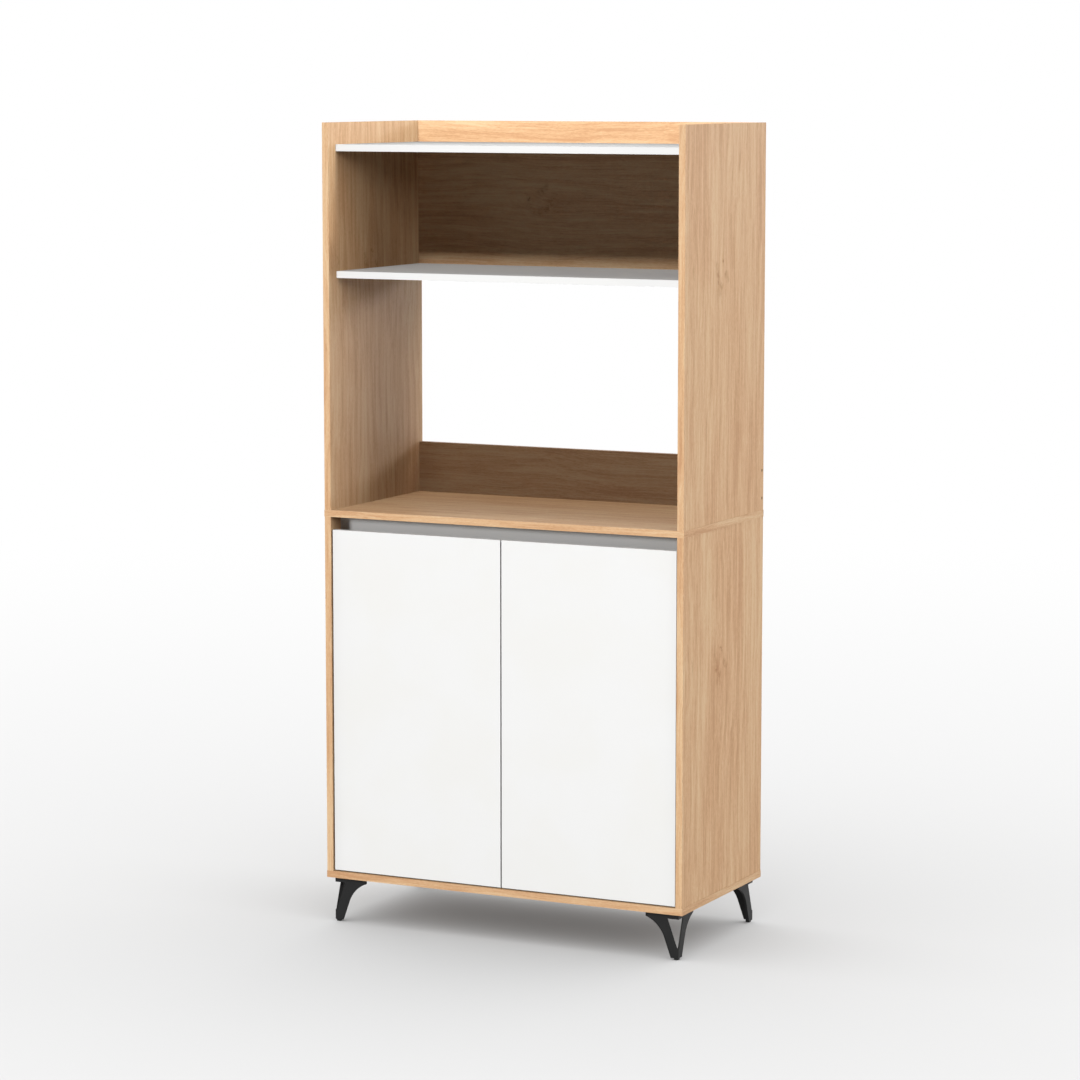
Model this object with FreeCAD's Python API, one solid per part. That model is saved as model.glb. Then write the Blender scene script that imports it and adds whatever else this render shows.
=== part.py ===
import FreeCAD, Part
import math
import os

Vector = FreeCAD.Vector

# Sizes are in millimetres. The cabinet stands on the floor at Z = 0, centred on X and Y,
# with its doors facing -Y.

# Carcass boards
BOARD = 15.0
WIDTH = 870.0
DEPTH = 433.0
LOWER_SIDE_HEIGHT = 800.0
NICHE_HEIGHT = 512.0
COMPARTMENT_HEIGHT = 263.0
LIP_HEIGHT = 48.0
END_OVERHANG = 1.0
WHITE_SHELF_RECESS = 34.0
NICHE_RAIL_HEIGHT = 115.0
GRIP_RAIL_HEIGHT = 70.0
GRIP_RAIL_RECESS = 45.0

# Inset doors
DOOR_THICKNESS = 15.0
DOOR_SIDE_GAP = 2.7
DOOR_CENTRE_GAP = 3.0
DOOR_BOTTOM_GAP = 2.7
DOOR_RECESS = 3.5
DOOR_EDGE_RADIUS = 0.8
FINGER_GAP = 29.0
OPENING_DEG = 95.0

# Hardboard back of the lower cabinet, held in grooves
BACK_THICKNESS = 3.0
BACK_INSET = 12.0
GROOVE_DEPTH = 5.0
GROOVE_CLEARANCE = 0.2
GROOVE_END_CLEARANCE = 0.5

# Loose shelf inside the lower cabinet
INNER_SHELF_RISE = 385.0
INNER_SHELF_RECESS = 60.0
INNER_SHELF_GAP = 0.8
SHELF_PIN_RADIUS = 2.5
SHELF_PIN_DEPTH = 9.0
SHELF_PIN_INSET = 45.0
SHELF_PAD_LENGTH = 12.0
SHELF_PAD_WIDTH = 10.0
SHELF_PAD_HEIGHT = 6.0

# Moulded corner legs
LEG_HEIGHT = 102.0
LEG_INSET = 13.0
LEG_REACH = 78.0
LEG_WEB = 5.0
LEG_RIM = 12.0
LEG_TIP = 11.0
LEG_CURVE_DROP = 55.0
ARM_SPLAY_DEG = 19.6
ARM_WIDTH = 23.5
CROTCH_RADIUS = 2.5
FOOT_WIDTH = 18.5
PAD_HEIGHT = 4.5
PAD_SIZE = 9.5
PAD_INSET = 2.0
PAD_CHAMFER = 1.0
FLANGE_THICKNESS = 4.0
FLANGE_WIDTH = 24.0
FLANGE_GUSSET = 22.0
LEG_SCREW_INSET = 12.0

# Concealed cup hinges
HINGE_END_DISTANCE = 100.0
CUP_RADIUS = 17.5
CUP_WALL = 0.8
CUP_COVER = 3.0
CUP_PIVOT_OFFSET = 9.8
CUP_RIM = 1.7
CUP_FLANGE = 1.0
CUP_WING_LENGTH = 30.0
CUP_WING_WIDTH = 14.0
CUP_WING_SHIFT = 6.0
CUP_SCREW_SPACING = 48.0
CHEEK_THICKNESS = 3.0
CHEEK_CLEARANCE = 0.4
HINGE_PIN_RADIUS = 1.5
HINGE_PIN_CLEARANCE = 0.05
KNUCKLE_CLEARANCE = 0.65
SWING_CLEARANCE = 0.8
CRANK_CLEARANCE = 1.0
ARM_SHEET = 1.2
ARM_BEND_RADIUS = 3.0
ARM_STRIP_WIDTH = 14.0
ARM_BODY_WIDTH = 18.0
ARM_LENGTH = 58.0
ARM_FLANGE_START = 6.0
ARM_FLANGE_LIFT = 1.0
PLATE_SETBACK = 37.0
PLATE_BASE = 2.0
PLATE_RAIL_HEIGHT = 7.0
PLATE_RAIL_LENGTH = 44.0
PLATE_RAIL_CLEARANCE = 0.4
PLATE_WING_WIDTH = 14.0
PLATE_WING_LENGTH = 24.0
PLATE_SCREW_SPACING = 32.0
CLAMP_SCREW_SHIFT = 12.0

# Cam fittings, dowels and screws
CAM_RADIUS = 7.5
CAM_COVER = 3.0
CAM_OFFSET = 24.0
CAM_SLOT_WIDTH = 1.6
CAM_SLOT_LENGTH = 9.0
CAM_SLOT_DEPTH = 2.0
BOLT_THREAD_RADIUS = 3.0
BOLT_THREAD_LENGTH = 10.0
BOLT_SHANK_RADIUS = 2.0
BOLT_HEAD_RADIUS = 3.2
BOLT_HEAD_LENGTH = 5.0
BOLT_BORE_RADIUS = 4.0
CAM_BOLT_CLEARANCE = 0.3
DOWEL_RADIUS = 4.0
DOWEL_LENGTH = 24.0
DOWEL_DEPTH_IN_FACE = 10.0
DOWEL_END_CLEARANCE = 0.5
BODY_SCREW = {"shank": 2.5, "length": 48.0, "head": 4.6, "head_height": 3.4, "sink": 0.0}
RAIL_SCREW = {"shank": 2.0, "length": 44.0, "head": 3.3, "head_height": 2.6, "sink": 0.6}
LEG_SCREW = {"shank": 1.9, "length": 15.0, "head": 3.9, "head_height": 2.4}
CUP_SCREW = {"shank": 1.7, "length": 11.0, "head": 3.4, "head_height": 1.8}
PLATE_SCREW = {"shank": 2.5, "length": 12.0, "head": 4.2, "head_height": 2.2}
CLAMP_SCREW = {"shank": 2.0, "length": 6.5, "head": 3.6, "head_height": 2.4}
FIT_CLEARANCE = 0.05
CORNER_ROUND_SHARE = 0.7
TOLERANCE = 0.001
RAIL_SCREW_INSET = 26.5
PANEL_FASTENER_INSET = 60.0
COUNTER_CAM_INSET = 85.0
BODY_SCREW_INSET = 115.0
DOWEL_INSET = 150.0
GRIP_FASTENER_SHIFT = 16.0
GUSSET_SCREW_SHARE = 0.25

# Levels and faces that follow from the sizes above
OUTER_X = WIDTH / 2
INNER_X = OUTER_X - BOARD
FRONT = -DEPTH / 2
BACK = DEPTH / 2
BOTTOM_Z = LEG_HEIGHT
LOWER_FLOOR_Z = BOTTOM_Z + BOARD
COUNTER_UNDER_Z = LOWER_FLOOR_Z + LOWER_SIDE_HEIGHT
COUNTER_TOP_Z = COUNTER_UNDER_Z + BOARD
SHELF_UNDER_Z = COUNTER_TOP_Z + NICHE_HEIGHT
SHELF_TOP_Z = SHELF_UNDER_Z + BOARD
TOP_UNDER_Z = SHELF_TOP_Z + COMPARTMENT_HEIGHT
TOP_Z = TOP_UNDER_Z + BOARD
HEIGHT = TOP_Z + LIP_HEIGHT
REAR_BOARD_Y = BACK - BOARD
CAM_DEPTH = BOARD - CAM_COVER
WHITE_FRONT = FRONT + WHITE_SHELF_RECESS
GRIP_FRONT = FRONT + GRIP_RAIL_RECESS
INNER_SHELF_Z = LOWER_FLOOR_Z + INNER_SHELF_RISE
INNER_SHELF_FRONT = FRONT + INNER_SHELF_RECESS
BACK_PANEL_REAR = BACK - BACK_INSET
BACK_PANEL_FRONT = BACK_PANEL_REAR - BACK_THICKNESS
INNER_SHELF_BACK = BACK_PANEL_FRONT - INNER_SHELF_GAP
DOOR_FRONT = FRONT + DOOR_RECESS
DOOR_WIDTH = (2 * INNER_X - 2 * DOOR_SIDE_GAP - DOOR_CENTRE_GAP) / 2
DOOR_BOTTOM_Z = LOWER_FLOOR_Z + DOOR_BOTTOM_GAP
DOOR_TOP_Z = COUNTER_UNDER_Z - FINGER_GAP

# The hinge pivot: its depth follows from the cup, and its distance from the door's edge lets
# the edge's front corner swing past the side with SWING_CLEARANCE to spare
KNUCKLE_RADIUS = HINGE_PIN_RADIUS + HINGE_PIN_CLEARANCE + ARM_SHEET
PIVOT_DEPTH = CUP_COVER + CUP_WALL + KNUCKLE_CLEARANCE + KNUCKLE_RADIUS
SWING_SLACK = DOOR_SIDE_GAP - SWING_CLEARANCE
PIVOT_IN = (PIVOT_DEPTH ** 2 - SWING_SLACK ** 2) / (2 * SWING_SLACK)
PIVOT_X = -INNER_X + DOOR_SIDE_GAP + PIVOT_IN
PIVOT_Y = DOOR_FRONT + PIVOT_DEPTH
HINGE_LEVELS = (DOOR_BOTTOM_Z + HINGE_END_DISTANCE, DOOR_TOP_Z - HINGE_END_DISTANCE)

SIDES = (("left", -1), ("right", 1))
ALONG_X = Vector(1, 0, 0)
ALONG_Y = Vector(0, 1, 0)
ALONG_Z = Vector(0, 0, 1)
ORIGIN = Vector(0, 0, 0)

panels = {}
holes = {}
hardware = {}


def box(x0, x1, y0, y1, z0, z1):
    """A block between two corners, given in any order along X."""
    low_x = min(x0, x1)
    return Part.makeBox(abs(x1 - x0), y1 - y0, z1 - z0, Vector(low_x, y0, z0))


def rod(radius, start, direction, length):
    """A round bar or a drill of the given radius from start."""
    return Part.makeCylinder(radius, length, start, direction)


def placed(shape, point, direction):
    """A copy of a shape made along +Z, standing at point along direction."""
    copy = shape.copy()
    copy.Placement = FreeCAD.Placement(point, FreeCAD.Rotation(ALONG_Z, direction))
    return copy


def turned(profile):
    """A solid of revolution about Z from (radius, height) corners that start and end on the axis."""
    corners = [Vector(radius, 0, height) for radius, height in profile]
    outline = Part.makePolygon(corners + [corners[0]])
    return Part.Face(outline).revolve(ORIGIN, ALONG_Z, 360)


def flat_face(edges):
    """A plane face inside a closed chain of edges."""
    return Part.Face(Part.Wire(edges))


def lines(points):
    """Straight edges through the points in order."""
    return [Part.makeLine(a, b) for a, b in zip(points, points[1:])]


def tangent_arc(start, tangent, end):
    """The circular edge that leaves start along tangent and ends at end."""
    chord = end - start
    half_turn = tangent.getAngle(chord)
    across = tangent - chord * (tangent.dot(chord) / chord.dot(chord))
    across.normalize()
    middle = start + chord * 0.5 + across * (chord.Length / 2 * math.tan(half_turn / 2))
    return Part.Arc(start, middle, end).toShape()


def edges_along(block, axis):
    """The edges of a plain block that run along an axis."""
    return [edge for edge in block.Edges if edge.Curve.Direction.cross(axis).Length < TOLERANCE]


def mirrored(shape):
    """The same piece on the other side of the cabinet."""
    return shape.mirror(ORIGIN, ALONG_X)


def drill(panel, cutter):
    """Remember a cut to make in a board."""
    holes.setdefault(panel, []).append(cutter)


def fit(node, solid):
    """Add a solid to a node that is a group of like pieces."""
    hardware.setdefault(node, []).append(solid)


def screw(size):
    """A pan-head screw along +Z, with the underside of its head at Z = 0."""
    return turned([
        (0, -size["head_height"]),
        (size["head"], -size["head_height"]),
        (size["head"], 0),
        (size["shank"], 0),
        (size["shank"], size["length"]),
        (0, size["length"]),
    ])


def countersunk_screw(size):
    """A flat-head screw along +Z, with the top of its head at Z = 0."""
    return turned([
        (0, 0),
        (size["head"], 0),
        (size["shank"], size["head_height"]),
        (size["shank"], size["length"]),
        (0, size["length"]),
    ])


def screw_in_boards(node, size, point, direction, outer, inner):
    """A flat-head screw from the face of one board into the edge of another."""
    seat = point + direction * size["sink"]
    fit(node, placed(countersunk_screw(size), seat, direction))
    head = Part.makeCone(
        size["head"] + FIT_CLEARANCE, size["shank"] + FIT_CLEARANCE, size["head_height"], seat, direction
    )
    shank = rod(size["shank"] + FIT_CLEARANCE, seat, direction, size["length"] + FIT_CLEARANCE)
    drill(outer, head)
    drill(outer, shank)
    drill(inner, shank)
    if size["sink"] > 0:
        drill(outer, rod(size["head"] + FIT_CLEARANCE, point, direction, size["sink"]))


def dowel_in_boards(point, direction, face_board, edge_board):
    """A dowel across a joint: direction runs from the board drilled in its face to the other's edge."""
    start = point - direction * DOWEL_DEPTH_IN_FACE
    fit("wood_dowels", rod(DOWEL_RADIUS, start, direction, DOWEL_LENGTH))
    hole = rod(
        DOWEL_RADIUS + FIT_CLEARANCE,
        start - direction * DOWEL_END_CLEARANCE,
        direction,
        DOWEL_LENGTH + 2 * DOWEL_END_CLEARANCE,
    )
    drill(face_board, hole)
    drill(edge_board, hole)


def cam_bolt():
    """A connecting bolt along +Z: thread below Z = 0, plain shank and head above it."""
    head_start = CAM_OFFSET - BOLT_HEAD_LENGTH / 2
    return turned([
        (0, -BOLT_THREAD_LENGTH),
        (BOLT_THREAD_RADIUS, -BOLT_THREAD_LENGTH),
        (BOLT_THREAD_RADIUS, 0),
        (BOLT_SHANK_RADIUS, 0),
        (BOLT_SHANK_RADIUS, head_start),
        (BOLT_HEAD_RADIUS, head_start),
        (BOLT_HEAD_RADIUS, head_start + BOLT_HEAD_LENGTH),
        (0, head_start + BOLT_HEAD_LENGTH),
    ])


def cam_in_boards(point, direction, cam_face, face_board, edge_board):
    """A cam fitting: the bolt stands in one board's face, the cam lies in the face of the other."""
    fit("cam_bolts", placed(cam_bolt(), point, direction))
    centre = point + direction * CAM_OFFSET
    mouth = centre + cam_face * (BOARD / 2)
    inward = cam_face * -1
    bolt_way = rod(
        BOLT_HEAD_RADIUS + CAM_BOLT_CLEARANCE,
        centre - direction * CAM_RADIUS,
        direction,
        CAM_RADIUS + BOLT_HEAD_LENGTH,
    )
    slot = Part.makeBox(CAM_SLOT_LENGTH, CAM_SLOT_WIDTH, CAM_SLOT_DEPTH)
    slot.translate(Vector(-CAM_SLOT_LENGTH / 2, -CAM_SLOT_WIDTH / 2, 0))
    cross_slot = slot.copy().rotate(ORIGIN, ALONG_Z, 90)
    cam = rod(CAM_RADIUS, mouth, inward, CAM_DEPTH)
    cam = cam.cut([bolt_way, placed(slot.fuse(cross_slot), mouth, inward)])
    fit("cam_locks", cam)
    drill(edge_board, rod(CAM_RADIUS + FIT_CLEARANCE, mouth, inward, CAM_DEPTH + FIT_CLEARANCE))
    drill(edge_board, rod(BOLT_BORE_RADIUS, point, direction, CAM_OFFSET))
    drill(face_board, rod(
        BOLT_THREAD_RADIUS + FIT_CLEARANCE, point, direction * -1, BOLT_THREAD_LENGTH + FIT_CLEARANCE
    ))


def make_boards():
    """Every flat board of the carcass, before drilling."""
    end = OUTER_X + END_OVERHANG
    panels["bottom_panel"] = box(-end, end, FRONT, BACK, BOTTOM_Z, LOWER_FLOOR_Z)
    panels["counter_panel"] = box(-end, end, FRONT, BACK, COUNTER_UNDER_Z, COUNTER_TOP_Z)
    for name, sign in SIDES:
        inner = sign * INNER_X
        outer = sign * OUTER_X
        panels[f"lower_{name}_side"] = box(inner, outer, FRONT, BACK, LOWER_FLOOR_Z, COUNTER_UNDER_Z)
        panels[f"upper_{name}_side"] = box(inner, outer, FRONT, BACK, COUNTER_TOP_Z, HEIGHT)
    panels["open_shelf"] = box(-INNER_X, INNER_X, WHITE_FRONT, REAR_BOARD_Y, SHELF_UNDER_Z, SHELF_TOP_Z)
    panels["top_panel"] = box(-INNER_X, INNER_X, WHITE_FRONT, REAR_BOARD_Y, TOP_UNDER_Z, TOP_Z)
    panels["upper_back_panel"] = box(-INNER_X, INNER_X, REAR_BOARD_Y, BACK, SHELF_UNDER_Z, HEIGHT)
    rail_top = COUNTER_TOP_Z + NICHE_RAIL_HEIGHT
    panels["niche_back_rail"] = box(-INNER_X, INNER_X, REAR_BOARD_Y, BACK, COUNTER_TOP_Z, rail_top)
    grip_low = COUNTER_UNDER_Z - GRIP_RAIL_HEIGHT
    panels["grip_rail"] = box(-INNER_X, INNER_X, GRIP_FRONT, GRIP_FRONT + BOARD, grip_low, COUNTER_UNDER_Z)
    shelf_end = INNER_X - INNER_SHELF_GAP
    panels["inner_shelf"] = box(
        -shelf_end, shelf_end, INNER_SHELF_FRONT, INNER_SHELF_BACK, INNER_SHELF_Z, INNER_SHELF_Z + BOARD
    )


def make_back():
    """The hardboard back and the grooves that hold it on four sides."""
    reach = GROOVE_DEPTH - GROOVE_END_CLEARANCE
    panels["lower_back_panel"] = box(
        -INNER_X - reach, INNER_X + reach, BACK_PANEL_FRONT, BACK_PANEL_REAR,
        LOWER_FLOOR_Z - reach, COUNTER_UNDER_Z + reach,
    )
    groove = box(
        -INNER_X - GROOVE_DEPTH, INNER_X + GROOVE_DEPTH,
        BACK_PANEL_FRONT - GROOVE_CLEARANCE, BACK_PANEL_REAR + GROOVE_CLEARANCE,
        LOWER_FLOOR_Z - GROOVE_DEPTH, COUNTER_UNDER_Z + GROOVE_DEPTH,
    )
    for board in ("bottom_panel", "counter_panel", "lower_left_side", "lower_right_side"):
        drill(board, groove)


def join_boards():
    """Cam fittings, dowels and screws that hold the carcass together."""
    down = ALONG_Z * -1
    for name, sign in SIDES:
        lower = f"lower_{name}_side"
        upper = f"upper_{name}_side"
        inward = ALONG_X * -sign
        outward = ALONG_X * sign
        middle_x = sign * (OUTER_X - BOARD / 2)
        for end in (FRONT, BACK):
            into = 1 if end == FRONT else -1
            y_cam = end + into * COUNTER_CAM_INSET
            y_screw = end + into * BODY_SCREW_INSET
            y_dowel = end + into * DOWEL_INSET
            cam_in_boards(Vector(middle_x, y_cam, COUNTER_UNDER_Z), down, inward, "counter_panel", lower)
            dowel_in_boards(Vector(middle_x, y_dowel, COUNTER_UNDER_Z), down, "counter_panel", lower)
            bottom_point = Vector(middle_x, y_screw, BOTTOM_Z)
            screw_in_boards("body_screws", BODY_SCREW, bottom_point, ALONG_Z, "bottom_panel", lower)
            counter_point = Vector(middle_x, y_screw, COUNTER_UNDER_Z)
            screw_in_boards("body_screws", BODY_SCREW, counter_point, ALONG_Z, "counter_panel", upper)
        side_x = sign * INNER_X
        for y in (WHITE_FRONT + PANEL_FASTENER_INSET, REAR_BOARD_Y - PANEL_FASTENER_INSET):
            shelf_point = Vector(side_x, y, SHELF_UNDER_Z + BOARD / 2)
            cam_in_boards(shelf_point, inward, down, upper, "open_shelf")
            top_point = Vector(side_x, y, TOP_UNDER_Z + BOARD / 2)
            cam_in_boards(top_point, inward, down, upper, "top_panel")
        for z in (SHELF_UNDER_Z + PANEL_FASTENER_INSET, HEIGHT - PANEL_FASTENER_INSET):
            back_point = Vector(side_x, BACK - BOARD / 2, z)
            cam_in_boards(back_point, inward, ALONG_Y, upper, "upper_back_panel")
        for z in (RAIL_SCREW_INSET, NICHE_RAIL_HEIGHT - RAIL_SCREW_INSET):
            rail_point = Vector(sign * OUTER_X, BACK - BOARD / 2, COUNTER_TOP_Z + z)
            screw_in_boards("rail_screws", RAIL_SCREW, rail_point, inward, upper, "niche_back_rail")
        grip_middle = Vector(side_x, GRIP_FRONT + BOARD / 2, COUNTER_UNDER_Z - GRIP_RAIL_HEIGHT / 2)
        shift = ALONG_Z * GRIP_FASTENER_SHIFT
        cam_in_boards(grip_middle - shift, inward, ALONG_Y, lower, "grip_rail")
        dowel_in_boards(grip_middle + shift, inward, lower, "grip_rail")
        place_shelf_pins(lower, outward, side_x)


def place_shelf_pins(side_board, outward, side_x):
    """Two push-in supports under one end of the loose shelf."""
    pin_z = INNER_SHELF_Z - SHELF_PAD_HEIGHT / 2
    pad_end = side_x - outward.x * SHELF_PAD_LENGTH
    for y in (INNER_SHELF_FRONT + SHELF_PIN_INSET, INNER_SHELF_BACK - SHELF_PIN_INSET):
        start = Vector(side_x, y, pin_z)
        pin = rod(SHELF_PIN_RADIUS, start, outward, SHELF_PIN_DEPTH)
        half = SHELF_PAD_WIDTH / 2
        pad = box(side_x, pad_end, y - half, y + half, INNER_SHELF_Z - SHELF_PAD_HEIGHT, INNER_SHELF_Z)
        upright = edges_along(pad, ALONG_Z)
        tip_edges = [edge for edge in upright if abs(edge.BoundBox.XMin - pad_end) < TOLERANCE]
        pad = pad.makeFillet(half * CORNER_ROUND_SHARE, tip_edges)
        fit("shelf_pins", pin.fuse(pad).removeSplitter())
        hole_depth = SHELF_PIN_DEPTH + FIT_CLEARANCE
        drill(side_board, rod(SHELF_PIN_RADIUS + FIT_CLEARANCE, start, outward, hole_depth))


def arm_slope():
    """How far a leg's arm leans sideways for each millimetre of height."""
    return math.tan(math.radians(ARM_SPLAY_DEG))


def arm_profile():
    """One arm of a leg seen square on: X runs from the outer corner, Z down from the bottom panel."""
    sole_z = PAD_HEIGHT - LEG_HEIGHT
    curve_x = FOOT_WIDTH + arm_slope() * (-LEG_CURVE_DROP - sole_z)
    curve_start = Vector(curve_x, 0, -LEG_CURVE_DROP)
    tip = Vector(LEG_REACH, 0, -LEG_TIP)
    outline = [
        curve_start,
        Vector(FOOT_WIDTH, 0, sole_z),
        Vector(0, 0, sole_z),
        ORIGIN,
        Vector(LEG_REACH, 0, 0),
        tip,
    ]
    curve = tangent_arc(curve_start, Vector(arm_slope(), 0, 1), tip)
    return flat_face(lines(outline) + [curve])


def crotch_sizes():
    """The gap between a leg's arms, square to the corner's diagonal: its half slope, and the heights of
    its apex and of the middle of its round lower end."""
    half_slope = arm_slope() / math.sqrt(2)
    apex_z = PAD_HEIGHT - LEG_HEIGHT + (ARM_WIDTH - FOOT_WIDTH) / arm_slope()
    round_z = apex_z + CROTCH_RADIUS / math.sin(math.atan(half_slope))
    return half_slope, apex_z, round_z


def crotch_gap():
    """The gap between a leg's arms: a tapered slot with a round lower end, cut along the diagonal."""
    half_slope, apex_z, round_z = crotch_sizes()
    lean = math.atan(half_slope)
    top = half_slope * (-LEG_RIM - apex_z)
    diagonal = Vector(1, 1, 0)
    diagonal.normalize()
    sideways = diagonal.cross(ALONG_Z)
    start = diagonal * -LEG_WEB

    def point(across, z):
        return start + sideways * across + ALONG_Z * z

    low = CROTCH_RADIUS * math.cos(lean)
    low_z = round_z - CROTCH_RADIUS * math.sin(lean)
    outline = [point(low, low_z), point(top, -LEG_RIM), point(-top, -LEG_RIM), point(-low, low_z)]
    lower_end = Part.Arc(outline[-1], point(0, round_z - CROTCH_RADIUS), outline[0]).toShape()
    return flat_face(lines(outline) + [lower_end]).extrude(diagonal * (top + 3 * LEG_WEB))


def leg_foot():
    """The solid corner between the arms' lower ends, on a smaller square pad."""
    round_z = crotch_sizes()[2]
    sole_z = PAD_HEIGHT - LEG_HEIGHT
    pad_end = PAD_INSET + PAD_SIZE
    core = box(0, pad_end, 0, pad_end, sole_z, round_z - CROTCH_RADIUS - LEG_WEB)
    pad = box(PAD_INSET, pad_end, PAD_INSET, pad_end, -LEG_HEIGHT, sole_z)
    sole_edges = [edge for edge in pad.Edges if edge.BoundBox.ZMax < TOLERANCE - LEG_HEIGHT]
    return core.fuse(pad.makeChamfer(PAD_CHAMFER, sole_edges))


def leg_screw_points():
    """Where the leg's three screws pass through its flange, from the outer corner."""
    line = (LEG_WEB + FLANGE_WIDTH) / 2
    far = LEG_REACH - LEG_SCREW_INSET
    corner = FLANGE_WIDTH + FLANGE_GUSSET * GUSSET_SCREW_SHARE
    return [Vector(far, line, 0), Vector(line, far, 0), Vector(corner, corner, 0)]


def make_leg():
    """A corner leg with its outer corner at the origin and its arms along +X and +Y."""
    front_arm = arm_profile().extrude(ALONG_Y * LEG_WEB)
    side_arm = front_arm.mirror(ORIGIN, Vector(1, -1, 0))
    gusset = FLANGE_WIDTH + FLANGE_GUSSET
    flange = flat_face(lines([
        ORIGIN,
        Vector(LEG_REACH, 0, 0),
        Vector(LEG_REACH, FLANGE_WIDTH, 0),
        Vector(gusset, FLANGE_WIDTH, 0),
        Vector(FLANGE_WIDTH, gusset, 0),
        Vector(FLANGE_WIDTH, LEG_REACH, 0),
        Vector(0, LEG_REACH, 0),
        ORIGIN,
    ])).extrude(ALONG_Z * -FLANGE_THICKNESS)
    leg = front_arm.fuse([side_arm, leg_foot(), flange]).cut(crotch_gap()).removeSplitter()
    clear = LEG_SCREW["shank"] + FIT_CLEARANCE
    bores = [rod(clear, point, ALONG_Z * -1, FLANGE_THICKNESS) for point in leg_screw_points()]
    return leg.cut(bores)


def place_legs():
    """Four legs, each turned so that its outer corner lies under a corner of the cabinet."""
    leg = make_leg()
    corner_x = OUTER_X - LEG_INSET
    corner_y = DEPTH / 2 - LEG_INSET
    places = {
        "front_left_leg": (-corner_x, -corner_y, 0),
        "front_right_leg": (corner_x, -corner_y, 90),
        "back_right_leg": (corner_x, corner_y, 180),
        "back_left_leg": (-corner_x, corner_y, 270),
    }
    for name, (x, y, turn) in places.items():
        placement = FreeCAD.Placement(Vector(x, y, BOTTOM_Z), FreeCAD.Rotation(ALONG_Z, turn))
        piece = leg.copy()
        piece.Placement = placement
        panels[name] = piece
        for point in leg_screw_points():
            head = placement.multVec(point - ALONG_Z * FLANGE_THICKNESS)
            top = placement.multVec(point)
            fit("leg_screws", placed(screw(LEG_SCREW), head, ALONG_Z))
            depth = LEG_SCREW["length"] - FLANGE_THICKNESS + FIT_CLEARANCE
            drill("bottom_panel", rod(LEG_SCREW["shank"] + FIT_CLEARANCE, top, ALONG_Z, depth))


def door_back():
    """The door's back face, measured from the hinge pivot."""
    return DOOR_THICKNESS - PIVOT_DEPTH


def cup_floor():
    """The underside of the cup, measured from the hinge pivot."""
    return CUP_COVER - PIVOT_DEPTH


def cup_screw_points():
    """The two screws through a cup's wings, on the door's back face."""
    across = CUP_PIVOT_OFFSET + CUP_WING_SHIFT
    half = CUP_SCREW_SPACING / 2
    return [Vector(across, door_back(), -half), Vector(across, door_back(), half)]


def make_cup():
    """A pressed hinge cup with its wings and the two cheeks that carry the pin."""
    floor = cup_floor()
    back = door_back()
    inner = CUP_RADIUS - CUP_WALL
    bowl = turned([
        (0, floor),
        (CUP_RADIUS, floor),
        (CUP_RADIUS, back),
        (CUP_RADIUS + CUP_RIM, back),
        (CUP_RADIUS + CUP_RIM, back + CUP_FLANGE),
        (inner, back + CUP_FLANGE),
        (inner, floor + CUP_WALL),
        (0, floor + CUP_WALL),
    ])
    axis_point = Vector(CUP_PIVOT_OFFSET, 0, 0)
    bowl = placed(bowl, axis_point, ALONG_Y)
    wing_middle = CUP_PIVOT_OFFSET + CUP_WING_SHIFT
    half = CUP_WING_WIDTH / 2
    wings = box(
        wing_middle - half, wing_middle + half, back, back + CUP_FLANGE, -CUP_WING_LENGTH, CUP_WING_LENGTH
    )
    wings = wings.makeFillet(half * CORNER_ROUND_SHARE, edges_along(wings, ALONG_Y))
    mouth = rod(inner, axis_point + ALONG_Y * floor, ALONG_Y, DOOR_THICKNESS + CUP_FLANGE)
    clear = CUP_SCREW["shank"] + FIT_CLEARANCE
    bores = [rod(clear, point, ALONG_Y, CUP_FLANGE) for point in cup_screw_points()]
    wings = wings.cut([mouth] + bores)
    return bowl.fuse([wings] + pin_cheeks(mouth, floor)).removeSplitter()


def pin_cheeks(mouth, floor):
    """Two upright ears on the cup's floor with a round hole for the pin."""
    cheeks = []
    near = ARM_STRIP_WIDTH / 2 + CHEEK_CLEARANCE
    for sign in (-1, 1):
        start = near if sign > 0 else -near - CHEEK_THICKNESS
        ear = rod(KNUCKLE_RADIUS, Vector(0, 0, start), ALONG_Z, CHEEK_THICKNESS)
        stem = box(-KNUCKLE_RADIUS, KNUCKLE_RADIUS, floor, 0, start, start + CHEEK_THICKNESS)
        bore = rod(HINGE_PIN_RADIUS + FIT_CLEARANCE, Vector(0, 0, start), ALONG_Z, CHEEK_THICKNESS)
        cheeks.append(ear.fuse(stem).common(mouth).cut(bore))
    return cheeks


def make_pin():
    """The round pin that a hinge turns on."""
    half = ARM_STRIP_WIDTH / 2 + CHEEK_CLEARANCE + CHEEK_THICKNESS
    return rod(HINGE_PIN_RADIUS, Vector(0, 0, -half), ALONG_Z, 2 * half)


def arm_path_corners():
    """Corners of the bent arm's middle line, from its rear end to the pin."""
    opening = math.radians(OPENING_DEG)
    rim_edge = CUP_PIVOT_OFFSET - CUP_RADIUS - CUP_RIM
    rim_back = door_back() + CUP_FLANGE
    reach = max(
        PIVOT_IN * -math.cos(opening) + door_back() * math.sin(opening),
        rim_edge * math.cos(opening) + rim_back * math.sin(opening),
    )
    neck = reach + CRANK_CLEARANCE + ARM_SHEET / 2
    sweep = math.hypot(PIVOT_IN, max(PIVOT_DEPTH, door_back()))
    crank = sweep + CRANK_CLEARANCE + ARM_SHEET / 2
    web = -PIVOT_IN - DOOR_SIDE_GAP + PLATE_BASE + PLATE_RAIL_HEIGHT + ARM_SHEET / 2
    lip = -(KNUCKLE_RADIUS - ARM_SHEET / 2)
    return [
        Vector(web, crank + ARM_LENGTH, 0),
        Vector(web, crank, 0),
        Vector(neck, crank, 0),
        Vector(neck, lip, 0),
        Vector(0, lip, 0),
    ]


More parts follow.
